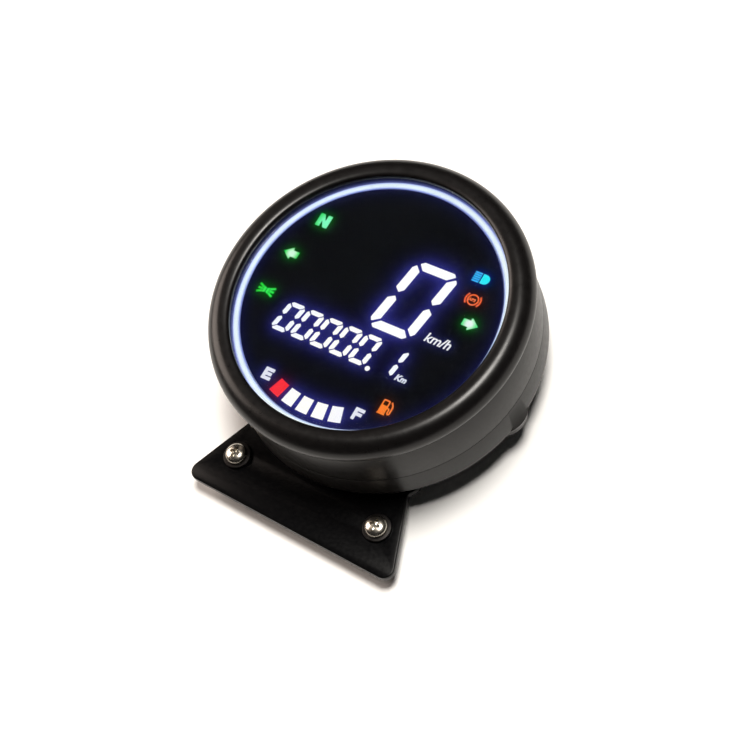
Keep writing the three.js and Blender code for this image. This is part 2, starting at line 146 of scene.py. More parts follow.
def litFinish(name, edge, core, centre, reach, strength):
    # Light through a tinted window: the core colour fades to the edge colour, over a fine printed grain.
    material, tree, place = blankMaterial(name)
    share = 1 / (reach * mm)
    middle = (-centre[0] / reach, -centre[1] / reach, -dialTop / reach)
    around = addNode(tree, "Mapping", {"Scale": (share,) * 3, "Location": middle}, {"Vector": place})
    fade = addNode(tree, "TexGradient", {"gradient_type": "SPHERICAL"}, {"Vector": around})
    ease = addNode(tree, "MapRange", {"interpolation_type": "SMOOTHSTEP", "From Max": 0.8},
        {"Value": fade.outputs["Fac"]})
    colour = addNode(tree, "Mix", {"data_type": "RGBA", 6: linear(edge), 7: linear(core)}, {0: ease})
    printed = addNode(tree, "TexNoise", {"Scale": 1 / (0.5 * mm)}, {"Vector": place})
    dim = addNode(tree, "MapRange", {"To Min": 0.9, "To Max": 1.06}, {"Value": printed})
    glow = addNode(tree, "Mix", {"data_type": "RGBA", "blend_type": "MULTIPLY", 0: 1.0}, {6: colour, 7: dim})
    addSurface(tree, {"Base Color": linear("101010"), "Roughness": 0.4, "Emission Strength": strength},
        {"Emission Color": glow})
    return material


def glowingFinish(name, tones, grain, roughness, level):
    # A dark gloss that also carries the stray light of its neighbours, kept in the piece's "halo" attribute.
    material = solidFinish(name, tones, grain, roughness, relief=0.001, level=level)
    tree = material.node_tree
    halo = addNode(tree, "Attribute", {"attribute_name": "halo"})
    shader = next(n for n in tree.nodes if n.type == "BSDF_PRINCIPLED")
    shader.inputs["Emission Strength"].default_value = 1.0
    tree.links.new(halo.outputs["Color"], shader.inputs["Emission Color"])
    return material


# ---- mesh helpers, all in millimetres ----
def addObject(name, data):
    item = bpy.data.objects.new(name, data)
    scene.collection.objects.link(item)
    return item


def newPiece(name, verts, faces):
    mesh = bpy.data.meshes.new(name)
    mesh.from_pydata(verts, [], faces)
    return addObject(name, mesh)


def moved(piece, x, y, z):
    piece.data.transform(Matrix.Translation((x, y, z)))


def softened(corners, closed=True, steps=5):  # corners are (x, y) or (x, y, radius of the rounding)
    points = []
    for i, corner in enumerate(corners):
        here = Vector(corner[:2])
        if len(corner) < 3 or (not closed and i in (0, len(corners) - 1)):
            points.append(tuple(here))
            continue
        before = (Vector(corners[i - 1][:2]) - here).normalized()
        after = (Vector(corners[(i + 1) % len(corners)][:2]) - here).normalized()
        half = before.angle(after) / 2
        centre = here + (before + after).normalized() * corner[2] / sin(half)
        start = here + before * corner[2] / tan(half) - centre
        end = here + after * corner[2] / tan(half) - centre
        first = atan2(start.y, start.x)
        sweep = (atan2(end.y, end.x) - first + pi) % (2 * pi) - pi
        for k in range(steps + 1):
            angle = first + sweep * k / steps
            points.append((centre.x + corner[2] * cos(angle), centre.y + corner[2] * sin(angle)))
    return points


def bezier(start, handleA, handleB, end, steps=14):  # a cubic stretch of a profile, its first point left out
    points = []
    for k in range(1, steps + 1):
        t = k / steps
        weights = ((1 - t) ** 3, 3 * t * (1 - t) ** 2, 3 * t * t * (1 - t), t ** 3)
        points.append(tuple(sum(w * p[axis] for w, p in zip(weights, (start, handleA, handleB, end)))
            for axis in (0, 1)))
    return points


def turned(name, profile, steps=192, centre=(0, 0)):  # (radius, height) pairs: a closed loop, or axis to axis
    verts, rows = [], []
    for radius, height in profile:
        first = len(verts)
        if radius < 1e-6:
            rows.append([first] * steps)
            verts.append((centre[0], centre[1], height))
            continue
        rows.append(list(range(first, first + steps)))
        for k in range(steps):
            angle = 2 * pi * k / steps
            verts.append((centre[0] + radius * cos(angle), centre[1] + radius * sin(angle), height))
    isRing = min(radius for radius, height in profile) > 1e-6
    faces = []
    for low, high in list(zip(rows, rows[1:])) + ([(rows[-1], rows[0])] if isRing else []):
        for k in range(steps):
            after = (k + 1) % steps
            corners = list(dict.fromkeys((low[k], low[after], high[after], high[k])))
            if len(corners) > 2:
                faces.append(corners)
    return newPiece(name, verts, faces)


def asMesh(holder, name):  # the evaluated shape as a plain mesh in a piece of its own
    graph = bpy.context.evaluated_depsgraph_get()
    mesh = bpy.data.meshes.new_from_object(holder.evaluated_get(graph))
    bpy.data.objects.remove(holder)
    mesh.name = name
    return addObject(name, mesh)


# a flat outline with its holes, given thickness and soft edges
def platePiece(name, loops, baseZ, topZ, edge=0.0):
    curve = bpy.data.curves.new(name, "CURVE")
    curve.dimensions = "2D"
    curve.fill_mode = "BOTH"
    curve.extrude = (topZ - baseZ) / 2 - edge
    curve.bevel_depth = edge
    curve.bevel_resolution = 3
    curve.offset = -edge
    for loop in loops:
        spline = curve.splines.new("POLY")
        spline.use_cyclic_u = True
        spline.points.add(len(loop) - 1)
        for point, (x, y) in zip(spline.points, loop):
            point.co = (x, y, 0, 1)
    piece = asMesh(addObject(name, curve), name)
    moved(piece, 0, 0, (baseZ + topZ) / 2)
    return piece


def tidyMesh(piece, weld=0.002):
    shape = bmesh.new()
    shape.from_mesh(piece.data)
    bmesh.ops.remove_doubles(shape, verts=shape.verts, dist=weld)
    bmesh.ops.recalc_face_normals(shape, faces=shape.faces)
    shape.to_mesh(piece.data)
    shape.free()


def boolean(piece, other, operation):
    tidyMesh(piece)
    tidyMesh(other)
    cutter = piece.modifiers.new("cut", "BOOLEAN")
    cutter.operation = operation
    cutter.solver = "EXACT"
    cutter.object = other
    done = asMesh(piece, piece.name)
    bpy.data.objects.remove(other)
    return done


def joined(pieces, name):
    shape = bmesh.new()
    for piece in pieces:
        shape.from_mesh(piece.data)
        bpy.data.objects.remove(piece)
    mesh = bpy.data.meshes.new(name)
    shape.to_mesh(mesh)
    shape.free()
    return addObject(name, mesh)


def finishPiece(piece, material, nodes=(), sharp=32, body=gaugeBody):
    tidyMesh(piece)
    piece.data.transform(Matrix.Scale(mm, 4))
    piece.data.shade_smooth()
    piece.data.set_sharp_from_angle(angle=radians(sharp))
    piece.data.materials.clear()
    piece.data.materials.append(material)
    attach(piece, body)
    if nodes:
        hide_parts(*nodes)
    return piece


# ---- one tree for everything that repeats along a line or round an axis ----
def makeRepeatTree():
    tree = bpy.data.node_groups.new("repeatAlongOrAround", "GeometryNodeTree")
    tree.interface.new_socket("Geometry", in_out="INPUT", socket_type="NodeSocketGeometry")
    for label, kind in (("Count", "Int"), ("Start", "Vector"), ("Step", "Vector"), ("First Turn", "Float"),
            ("Turn Step", "Float"), ("Material", "Material")):
        tree.interface.new_socket(label, in_out="INPUT", socket_type="NodeSocket" + kind)
    tree.interface.new_socket("Geometry", in_out="OUTPUT", socket_type="NodeSocketGeometry")
    given = addNode(tree, "NodeGroupInput").outputs
    line = addNode(tree, "MeshLine", {"mode": "OFFSET"}, {"Count": given["Count"],
        "Start Location": given["Start"], "Offset": given["Step"]})
    number = addNode(tree, "InputIndex")
    turn = addNode(tree, "ShaderNodeMath", {"operation": "MULTIPLY_ADD"},
        {0: number, 1: given["Turn Step"], 2: given["First Turn"]})
    rotation = addNode(tree, "ShaderNodeCombineXYZ", None, {"Z": turn})
    copies = addNode(tree, "InstanceOnPoints", None, {"Points": line, "Instance": given["Geometry"],
        "Rotation": rotation})
    real = addNode(tree, "RealizeInstances", None, {"Geometry": copies})
    painted = addNode(tree, "SetMaterial", None, {"Geometry": real, "Material": given["Material"]})
    addNode(tree, "NodeGroupOutput", None, {"Geometry": painted})
    return tree


repeatTree = makeRepeatTree()


def repeated(piece, material, count, start=(0, 0, 0), step=(0, 0, 0), firstTurn=0.0, turnStep=0.0):
    values = {"Count": count, "Start": start, "Step": step, "First Turn": radians(firstTurn),
        "Turn Step": radians(turnStep), "Material": material}
    modifier = piece.modifiers.new("repeat", "NODES")
    modifier.node_group = repeatTree
    for socket in repeatTree.interface.items_tree:
        if socket.in_out == "INPUT" and socket.name in values:
            modifier[socket.identifier] = values[socket.name]
    return asMesh(piece, piece.name)


def bracketPoint(x, y):  # a point of the bracket, which is turned a little under the dial
    return (x * cos(bracketTurn) - y * sin(bracketTurn), x * sin(bracketTurn) + y * cos(bracketTurn))


# ---- finishes ----
# satin paint over a die-cast ring: near black, with a soft wide sheen and a faint orange peel
bezelPaint = solidFinish("satinBlackPaint", ("090808", "0e0c0c"), 2.2, (0.27, 0.33), 0.002, 0.7, level=0.28)
# moulded and painted casing: charcoal grey with a fine spark-eroded grain that breaks up the sheen
casingPaint = solidFinish("satinCharcoalPaint", ("100e0d", "161413"), 1.6, (0.3, 0.38), 0.005, 0.42,
    level=0.2)
# powder coat on sheet steel: dead black with a fine leathery relief and a weak sheen at the edges
bracketCoat = solidFinish("blackPowderCoat", ("030304", "060607"), 1.2, (0.2, 0.27), 0.003, 0.5, level=0.12)
# glass-filled nylon: black, dry, with short flow streaks
mouldedBlack = solidFinish("mouldedBlackNylon", ("101011", "1a1a1b"), 0.9, (0.45, 0.6), 0.02, 0.25)
# EPDM rubber: matt, a little dusty
rubberBlack = solidFinish("blackRubber", ("0d0d0d", "1b1a19"), 1.4, (0.75, 0.9), 0.03, 0.3, ior=1.52,
    level=0.35)
# bright zinc on turned steel: fine rings of tool marks and small cloudy patches
brightZinc = solidFinish("brightZincSteel", ("a9a49b", "cfc8bb"), 0.8, (0.2, 0.28), 0.0004, 0.5, (1, 1, 3),
    1.0)
# black oxide on spring steel: dark, oily and slightly brown
darkOxide = solidFinish("blackOxideSteel", ("1b1a1a", "2b2928"), 0.7, (0.3, 0.45), 0.002, 0.2, (1, 1, 1), 1.0)
# gold flash over brass pins: warm and bright, with faint drawing lines along the pin
goldContact = solidFinish("goldFlashedBrass", ("c79a3c", "e2bd63"), 0.5, (0.2, 0.32), 0.004, 0.1, (1, 1, 0.1),
    1.0)
# filled white polycarbonate of the light carrier: milky and even, with weak flow marks
carrierWhite = solidFinish("milkyPolycarbonate", ("dcdcd6", "eeeeea"), 3.0, (0.45, 0.6), 0.01, 0.6, ior=1.58)
# epoxy of the chips: dark grey with a fine matt grain
chipEpoxy = solidFinish("mouldedEpoxy", ("161617", "222224"), 0.4, (0.5, 0.65), 0.01, 0.12)
# solder resist over copper: green, darker between the tracks that show through
boardResist = solidFinish("greenSolderResist", ("0c3420", "1c5a36"), 1.1, (0.3, 0.42), 0.03, 1.1,
    (1, 0.25, 1), ior=1.55)
# back-lit film over the display: almost black with a breath of blue, and the haze round what is lit
dialFilm = glowingFinish("smokedDialFilm", ("070a0e", "0b0f15"), 9.0, (0.1, 0.14), 0.25)
# black polyacetal reflector edge beside the light ring, with the ring's stray light on it
trimPlastic = glowingFinish("blackTrimPlastic", ("07070a", "0e0e12"), 1.5, (0.2, 0.3), 0.3)


def lensFinish():  # clear hard-coated polycarbonate window: sharp and colourless
    material, tree, place = blankMaterial("clearPolycarbonate")
    smear = addNode(tree, "TexNoise", {"Scale": 1 / (18 * mm)}, {"Vector": place})
    gloss = addNode(tree, "MapRange", {"To Min": 0.01, "To Max": 0.03}, {"Value": smear})
    addSurface(tree, {"Base Color": linear("fdfdfe"), "IOR": 1.49, "Transmission Weight": 1.0},
        {"Roughness": gloss})
    return material


def lightGuideFinish(innerRadius, outerRadius):  # frosted acrylic, edge-lit: white core, violet-blue borders
    material, tree, place = blankMaterial("litFrostedAcrylic")
    flat = addNode(tree, "VectorMath", {"operation": "MULTIPLY", 1: (1, 1, 0)}, {0: place})
    radius = addNode(tree, "VectorMath", {"operation": "LENGTH"}, {0: flat})
    across = addNode(tree, "MapRange", {"From Min": innerRadius * mm, "From Max": outerRadius * mm},
        {"Value": radius})
    band = addNode(tree, "ValToRGB", None, {"Fac": across})
    stops = ((0.0, "7c88d4"), (0.16, "ccdcf8"), (0.38, "f6ffff"), (0.7, "f0faff"), (0.88, "bccaf6"),
        (1.0, "808cd8"))
    for i, (share, colour) in enumerate(stops):
        stop = band.color_ramp.elements[i] if i < 2 else band.color_ramp.elements.new(share)
        stop.position = share
        stop.color = linear(colour)
    lean = addNode(tree, "VectorMath", {"operation": "DOT_PRODUCT", 1: (8.5, -6.5, 0)}, {0: place})
    side = addNode(tree, "MapRange", {"From Min": -0.42, "From Max": 0.25}, {"Value": lean})
    tint = addNode(tree, "Mix", {"data_type": "RGBA", 6: linear("f0f8ff"), 7: linear("fbffff")}, {0: side})
    lamps = addNode(tree, "TexNoise", {"Scale": 1 / (14 * mm), "Detail": 1.0}, {"Vector": place})
    wave = addNode(tree, "MapRange", {"To Min": 0.9, "To Max": 1.08}, {"Value": lamps})
    tinted = addNode(tree, "Mix", {"data_type": "RGBA", "blend_type": "MULTIPLY", 0: 1.0}, {6: band, 7: tint})
    glow = addNode(tree, "Mix", {"data_type": "RGBA", "blend_type": "MULTIPLY", 0: 1.0}, {6: tinted, 7: wave})
    addSurface(tree, {"Base Color": linear("50545c"), "Roughness": 0.5, "IOR": 1.49,
        "Emission Strength": 0.98}, {"Emission Color": glow})
    return material


print("finishes made")

# ---- bezel, window and what frames the dial ----
bezel = {"skirtR": 51.1, "lipR": 44.7, "innerR": 48.3, "crestR": 47.6, "lipDrop": 1.2,
    "lipUnderZ": lensHigh.z + 0.3, "bulgeDrop": 5.0, "footRise": 0.6, "lowHandle": 1.3, "highHandle": 2.6,
    "lipHandle": 1.6, "lipEase": 0.3, "soft": 0.35, "lipSoft": 0.25}


def buildBezel():
    footZ, crestZ, bulgeR = bezelLow.z, bezelHigh.z, bezelHigh.x
    skirtR, crestR, lipR, innerR = (bezel[key] for key in ("skirtR", "crestR", "lipR", "innerR"))
    bulgeZ, underZ, highHandle = crestZ - bezel["bulgeDrop"], bezel["lipUnderZ"], bezel["highHandle"]
    profile = [(skirtR - bezel["soft"], footZ), (skirtR, footZ)]
    profile += bezier(profile[-1], (skirtR + 1, footZ + bezel["footRise"]),
        (bulgeR, bulgeZ - bezel["lowHandle"]), (bulgeR, bulgeZ))
    profile += bezier(profile[-1], (bulgeR, bulgeZ + highHandle), (crestR + highHandle, crestZ),
        (crestR, crestZ), 24)
    profile += bezier(profile[-1], (crestR - bezel["lipHandle"], crestZ), (lipR, crestZ - bezel["lipEase"]),
        (lipR, crestZ - bezel["lipDrop"]))
    inner = [(lipR, underZ, bezel["lipSoft"]), (innerR, underZ), (innerR, footZ)]
    profile += softened([profile[-1]] + inner, closed=False)[1:]
    finishPiece(turned("bezelRing", profile, 256), bezelPaint, ["bezel_ring"], 50)


window = {"edge": 0.3, "gasketWidth": 1.6, "gasketSoft": 0.2}


def buildWindow():
    edge, soft = window["edge"], window["gasketSoft"]
    pane = turned("clearWindow", softened([(0, lensLow.z), (lensHigh.x, lensLow.z, edge),
        (lensHigh.x, lensHigh.z, edge), (0, lensHigh.z)], closed=False), 192)
    finishPiece(pane, lensFinish(), ["front_lens"])
    low, high = boxOf("lens_gasket")
    innerR = high.x - window["gasketWidth"]
    gasket = turned("windowGasket", softened([(innerR, low.z, soft), (high.x, low.z, soft),
        (high.x, high.z, soft), (innerR, high.z, soft)]), 160)
    finishPiece(gasket, rubberBlack, ["lens_gasket"])


guide = {"outerR": guideHigh.x, "innerR": guideHigh.x - 2.2, "soft": 0.25}


def buildLightRing():
    innerR, outerR, soft = guide["innerR"], guide["outerR"], guide["soft"]
    ring = turned("lightGuideRing", softened([(innerR, guideLow.z), (outerR, guideLow.z),
        (outerR, guideHigh.z, soft), (innerR, guideHigh.z, soft)]), 256)
    finishPiece(ring, lightGuideFinish(innerR, outerR), ["light_guide_ring"])


print("front framed")

# ---- what is lit on the dial; places are from the dial's centre, along the rider's right and up ----
digits = {"big": {"centre": (12.44, 6.77), "side": 6.5, "end": 11.62, "stroke": 3.1, "lean": 0.166,
    "tight": 0.1}, "small": {"centre": (-22.04, -14.08), "side": 2.4, "end": 4.58, "stroke": 1.6,
    "lean": 0.169, "tight": 0.13, "pitch": 7.25, "zeros": 5, "oneShift": 9.7, "dot": (10.88, -19.31),
    "dotR": 0.82}}
fuelBars = {"innerR": 35.35, "outerR": 40.5, "halfSpan": 2.95, "firstAngle": -107.65, "pitch": 8.2,
    "count": 5}
litBase, litTop = dialTop + 0.02, dialTop + 0.1
litPieces = []  # (piece, halo colour, halo strength, halo reach in mm)


# one of the six outer strokes of a seven-segment digit, a at the top, clockwise
def segmentShape(style, letter):
    side, end, stroke = style["side"], style["end"], style["stroke"]
    half, top, tight = stroke / 2, style["end"] + style["stroke"] * 0.47, style["tight"]
    if letter in "ad":
        inner, tip, outer = side - half * 1.45 + tight, side - half * 0.13 + tight, side - half * 0.8 + tight
        shape = [(-inner, end - half * 0.94), (inner, end - half * 0.94), (tip, top - stroke * 0.31),
            (outer, top), (-outer, top), (-tip, top - stroke * 0.31)]
        flips = (1, 1 if letter == "a" else -1)
    else:
        gap = stroke * 0.245
        shape = [(side - half, gap + stroke * 0.4), (side - half * 0.2, gap),
            (side + half, gap + stroke * 0.44), (side + half, top - stroke * 0.97 + tight),
            (side + half * 0.42, top - stroke * 0.61 + tight), (side - half, top - stroke * 1.19 + tight)]
        flips = (1 if letter in "bc" else -1, 1 if letter in "bf" else -1)
    soft = stroke * 0.07
    placed = [(x * flips[0], y * flips[1]) for x, y in shape]
    return [(x + style["lean"] * y, y, soft) for x, y in placed]


def digitPiece(name, style, letters):
    strokes = [softened(segmentShape(style, letter), steps=2) for letter in letters]
    return platePiece(name, strokes, 0, litTop - litBase)


def arc(centre, radius, first, last, steps=24):
    angles = [radians(first + (last - first) * k / steps) for k in range(steps + 1)]
    return [(centre[0] + radius * cos(a), centre[1] + radius * sin(a)) for a in angles]


def ribbon(path, width):  # the outline of a stroke of even width along a path
    points = [Vector(p) for p in path]
    sides = ([], [])
    for i, here in enumerate(points):
        ahead = (points[min(i + 1, len(points) - 1)] - points[max(i - 1, 0)]).normalized()
        across = Vector((-ahead.y, ahead.x)) * width / 2
        sides[0].append(tuple(here + across))
        sides[1].append(tuple(here - across))
    return sides[0] + sides[1][::-1]


def shifted(shape, centre, mirror=1):
    return [(centre[0] + mirror * x, centre[1] + y) for x, y in shape]


def lit(piece, name, material, halo, strength, reach, nodes=()):
    piece.name = piece.data.name = name
    finishPiece(piece, material, nodes)
    litPieces.append((piece, linear(halo)[:3], strength, reach))


def buildDigits():
    whiteSpeed = litFinish("litSpeedWhite", "fbfcff", "fffffc", digits["big"]["centre"], 14, 1.12)
    big = digitPiece("speedDigit", digits["big"], "abcdef")
    big = repeated(big, whiteSpeed, 1, (*digits["big"]["centre"], litBase))
    lit(big, "speedDigit", whiteSpeed, "5151e1", 0.8, 1.5)

    small = digits["small"]
    whiteTrip = litFinish("litTripWhite", "f4f8ff", "fffffa", (0, small["centre"][1]), 24, 1.1)
    zeros = digitPiece("tripZeros", small, "abcdef")
    zeros = repeated(zeros, whiteTrip, small["zeros"], (*small["centre"], litBase), (small["pitch"], 0, 0))
    one = digitPiece("tripOne", small, "bc")
    lastX = small["centre"][0] + small["pitch"] * (small["zeros"] - 1) + small["oneShift"]
    one = repeated(one, whiteTrip, 1, (lastX, small["centre"][1], litBase))
    dot = platePiece("tripDot", [arc(small["dot"], small["dotR"], 0, 345, 23)], litBase, litTop)
    lit(joined([zeros, one, dot], "tripDigits"), "tripDigits", whiteTrip, "5151e1", 0.7, 1.3)


def buildFuelBars():
    inner, outer, half = fuelBars["innerR"], fuelBars["outerR"], fuelBars["halfSpan"]
    bar = arc((0, 0), inner, -half, half, 6) + arc((0, 0), outer, half, -half, 6)
    middle = radians(fuelBars["firstAngle"])
    lowBar = (38 * cos(middle), 38 * sin(middle))
    red = litFinish("litLowFuelRed", "ff0a2c", "ff2030", (lowBar[0] + 1.5, lowBar[1]), 5, 1.02)
    white = litFinish("litFuelWhite", "f4f6ff", "fffffa", (0, -38), 16, 1.1)
    low = repeated(platePiece("lowFuelBar", [bar], litBase, litTop), red, 1, firstTurn=fuelBars["firstAngle"])
    lit(low, "lowFuelBar", red, "7a1450", 0.8, 1.0)
    rest = repeated(platePiece("fuelBars", [bar], litBase, litTop), white, fuelBars["count"] - 1,
        firstTurn=fuelBars["firstAngle"] + fuelBars["pitch"], turnStep=fuelBars["pitch"])
    lit(rest, "fuelBars", white, "5151e1", 0.68, 1.3)


letters = {"eLeft": (-19.15, -35.6), "fLeft": (14.55, -35.85), "width": 3.3, "height": 4.1, "stroke": 1.1,
    "nBox": (-32.1, 18.35, -27.65, 22.95), "nStroke": 1.6}


def buildLetters():
    wide, high, stroke = letters["width"], letters["height"], letters["stroke"]
    barGap = (high - 3 * stroke) / 2
    e = [(0, 0), (wide, 0), (wide, stroke), (stroke, stroke), (stroke, stroke + barGap),
        (wide * 0.9, stroke + barGap), (wide * 0.9, 2 * stroke + barGap), (stroke, 2 * stroke + barGap),
        (stroke, high - stroke), (wide, high - stroke), (wide, high), (0, high)]
    f = [(0, 0), (stroke, 0)] + e[4:]
    softE = softened([(x, y, 0.12) for x, y in shifted(e, letters["eLeft"])], steps=2)
    softF = softened([(x, y, 0.12) for x, y in shifted(f, letters["fLeft"])], steps=2)
    white = litFinish("litScaleWhite", "e6eaf6", "fbfcff", (0, -34), 22, 1.0)
    lit(platePiece("fuelLetters", [softE, softF], litBase, litTop), "fuelLetters", white, "4a4ed0", 0.6, 1.0)

    x0, y0, x1, y1 = letters["nBox"]
    thick = letters["nStroke"]
    drop = thick * 1.35
    n = [(x0, y0), (x0, y1), (x0 + thick, y1), (x1 - thick, y0 + drop), (x1 - thick, y1), (x1, y1), (x1, y0),
        (x1 - thick, y0), (x0 + thick, y1 - drop), (x0 + thick, y0)]
    green = litFinish("litNeutralGreen", "10dc54", "7cffc0", (x1 - 1.2, y0 + 2), 4.2, 1.0)
    softN = softened([(x, y, 0.1) for x, y in n], steps=2)
    lit(platePiece("neutralLetter", [softN], litBase, litTop), "neutralLetter", green, "007c14", 1.0, 0.8)


def textPiece(name, words, size, place, lean, weight):
    text = bpy.data.curves.new(name, "FONT")
    text.body = words
    text.size = size
    text.shear = lean
    text.offset = weight
    text.extrude = (litTop - litBase) / 2
    piece = asMesh(addObject(name, text), name)
    moved(piece, *place, (litBase + litTop) / 2)
    return piece


units = {"speedPlace": (22.0, -4.05), "speedSize": 4.5, "tripPlace": (20.35, -19.1), "tripSize": 2.75,
    "lean": 0.2}


def buildUnits():
    white = litFinish("litUnitWhite", "dfe6f4", "f6f8fc", (26.5, -3), 12, 0.98)
    speed = textPiece("speedUnit", "km/h", units["speedSize"], units["speedPlace"], units["lean"], 0.06)
    lit(speed, "speedUnit", white, "3a3f9c", 0.7, 0.9)
    trip = textPiece("tripUnit", "Km", units["tripSize"], units["tripPlace"], units["lean"], 0.12)
    lit(trip, "tripUnit", white, "3a3f9c", 0.7, 0.9)


signs = {"leftArrow": (-33.75, 6.15), "rightArrow": (32.9, 6.45), "lamps": (-34.25, -8.55),
    "beam": (28.5, 21.75), "brake": (29.6, 14.15), "pump": (22.3, -30.85)}


def buildSigns():
    arrow = softened([(2.75, 0, 0.15), (-0.3, 2.3, 0.15), (-0.3, 1.18), (-2.7, 1.18, 0.12),
        (-2.7, -1.18, 0.12), (-0.3, -1.18), (-0.3, -2.3, 0.15)], steps=2)
    for side, hand, edge, core in ((-1, "left", "10d84c", "d6ffe2"), (1, "right", "38e87c", "eefff8")):
        place = signs[hand + "Arrow"]
        green = litFinish(f"litTurnGreen_{hand}", edge, core, (place[0] - 0.3 * side, place[1]), 2.6, 1.0)
        sign = platePiece("turnArrow", [shifted(arrow, place, side)], litBase, litTop)
        lit(sign, f"turnArrow_{hand}", green, "007c18", 1.0, 0.8)

    lampLoops = []
    for side in (-1, 1):
        middle = (signs["lamps"][0] + side * 0.14, signs["lamps"][1])
        bowl = [(0, 0.8), (0.95, 1.2), (0.95, -1.2), (0, -0.8)]
        lampLoops.append(shifted(softened([(x, y, 0.25) for x, y in bowl], steps=3), middle, side))
        for lift in (-1, 0, 1):
            ray = ribbon([(1.1, 0.72 * lift), (2.85, 1.5 * lift)], 0.74)
            lampLoops.append(shifted(ray, middle, side))
    green = litFinish("litPositionGreen", "06d81c", "12f048", (signs["lamps"][0] + 1, signs["lamps"][1]), 4,
        1.0)
    sign = platePiece("positionLampSign", lampLoops, litBase, litTop)
    lit(sign, "positionLampSign", green, "007c0c", 1.0, 0.8)

    x, y = signs["beam"]
    lens = [(x, y - 1.7)] + arc((x + 1.0, y), 1.7, -90, 90, 18) + [(x, y + 1.7)]
    cyan = litFinish("litBeamCyan", "10cdf8", "00f6ff", (x + 1, y), 3.2, 1.0)
    lit(platePiece("beamSign", [lens], litBase, litTop), "beamSign", cyan, "0838a8", 1.0, 0.8)
    blue = litFinish("litBeamBlue", "30a4f4", "20b8fc", (x - 1, y), 4, 1.0)
    rays = platePiece("beamRays", [shifted(ribbon([(0, 0), (2.4, 0)], 0.54), (x - 2.85, y - 1.48))], litBase,
        litTop)
    rays = repeated(rays, blue, 5, step=(0, 0.74, 0))
    lit(rays, "beamRays", blue, "0838a8", 1.0, 0.8)

    place = signs["brake"]
    loops = [arc(place, 1.98, 0, 352, 44), arc(place, 1.5, 0, 352, 44)]
    for turn in (0, 180):
        loops.append(arc(place, 2.82, turn - 42, turn + 42) + arc(place, 2.3, turn + 42, turn - 42))
    orange = litFinish("litBrakeOrange", "f05010", "fa7034", place, 3.2, 1.0)
    ring = platePiece("brakeSign", loops, litBase, litTop)
    word = textPiece("brakeWord", "ABS", 1.35, (place[0] - 1.38, place[1] - 0.48), 0, 0.05)
    lit(joined([ring, word], "brakeSign"), "brakeSign", orange, "5c1c08", 1.0, 0.7)

    x, y = signs["pump"]
    body = softened([(-1.35, 0, 0.1), (1.45, 0, 0.1), (1.25, 0.55), (1.25, 5.0, 0.5), (-1.15, 5.0, 0.5),
        (-1.15, 0.55)], steps=3)
    glass = softened([(-0.72, 3.1, 0.2), (0.82, 3.1, 0.2), (0.82, 4.5, 0.2), (-0.72, 4.5, 0.2)], steps=3)
    hose = ribbon([(1.2, 2.45), (1.75, 2.4), (1.95, 2.1), (1.95, 1.0), (2.2, 0.72), (2.5, 0.78), (2.68, 1.1),
        (2.68, 3.2), (2.4, 3.9), (1.75, 4.75)], 0.52)
    fuelOrange = litFinish("litFuelOrange", "f87a30", "ff7e10", (x - 0.2, y + 1.8), 3.6, 1.0)
    loops = [shifted(body, (x, y)), shifted(glass, (x, y))]
    pump = platePiece("fuelPumpBody", loops, litBase, litTop)
    line = platePiece("fuelPumpHose", [shifted(hose, (x, y))], litBase, litTop)
    lit(joined([pump, line], "fuelPumpSign"), "fuelPumpSign", fuelOrange, "5c2808", 1.0, 0.7)


buildBezel()
buildWindow()
buildLightRing()
buildDigits()
buildFuelBars()
buildLetters()
buildUnits()
buildSigns()
print("lit shapes made:", len(litPieces))


# ---- dial film and trim, which carry the haze of what is lit ----
haze = {"ringTint": (0.1, 0.115, 1.0), "ringStrength": 0.045, "ringReach": 1.6, "cutOff": 9, "patch": 0.2,
    "trimTint": (0.28, 0.34, 1.0), "trimNear": (0.42, 0.42), "trimFar": (0.03, 2.5)}


# points spread evenly over the top faces of a lit shape, with the area that each stands for
def lightSamples(piece):
    points, areas = [], []
    mesh = piece.data
    mesh.calc_loop_triangles()
    for triangle in mesh.loop_triangles:
        if triangle.normal.z < 0.9:
            continue
        a, b, c = (np.array(mesh.vertices[i].co)[:2] / mm for i in triangle.vertices)
        area = triangle.area / mm ** 2
        parts = max(1, ceil(sqrt(area / haze["patch"])))
        for i in range(parts):
            for j in range(parts - i):
                for flip in range(2 if j < parts - i - 1 else 1):
                    u, v = ((i + (1 + flip) / 3) / parts, (j + (1 + flip) / 3) / parts)
                    points.append(a + (b - a) * u + (c - a) * v)
                    areas.append(area / parts ** 2)
    return np.array(points), np.array(areas)


pairsAtOnce = 4000000  # keeps the sums within a small memory


def hazeAt(places):  # linear colour of the stray light at points of the dial plane
    total = np.zeros((len(places), 3))
    for piece, colour, strength, reach in litPieces:
        points, areas = lightSamples(piece)
        low, high = points.min(0) - haze["cutOff"] * reach, points.max(0) + haze["cutOff"] * reach
        near = np.where(np.all((places > low) & (places < high), axis=1))[0]
        for part in np.array_split(near, max(1, len(near) * len(points) // pairsAtOnce)):
            gapX = places[part, None, 0] - points[None, :, 0]
            gapY = places[part, None, 1] - points[None, :, 1]
            weight = np.exp(-np.sqrt(gapX ** 2 + gapY ** 2) / reach) @ areas / (2 * pi * reach ** 2)
            total[part] += weight[:, None] * np.array(colour)[None, :] * strength
    radius = np.hypot(places[:, 0], places[:, 1])
    inside = np.exp(-np.maximum(guide["innerR"] - radius, 0) / haze["ringReach"])
    total += inside[:,
        None] * np.array(haze["ringTint"]) * haze["ringStrength"] * (radius < guide["outerR"])[:, None]
    return total


def setHalo(piece, colours):
    attribute = piece.data.attributes.new("halo", "FLOAT_COLOR", "POINT")
    values = np.ones((len(colours), 4))
    values[:, :3] = colours
    attribute.data.foreach_set("color", values.astype(np.float32).ravel())


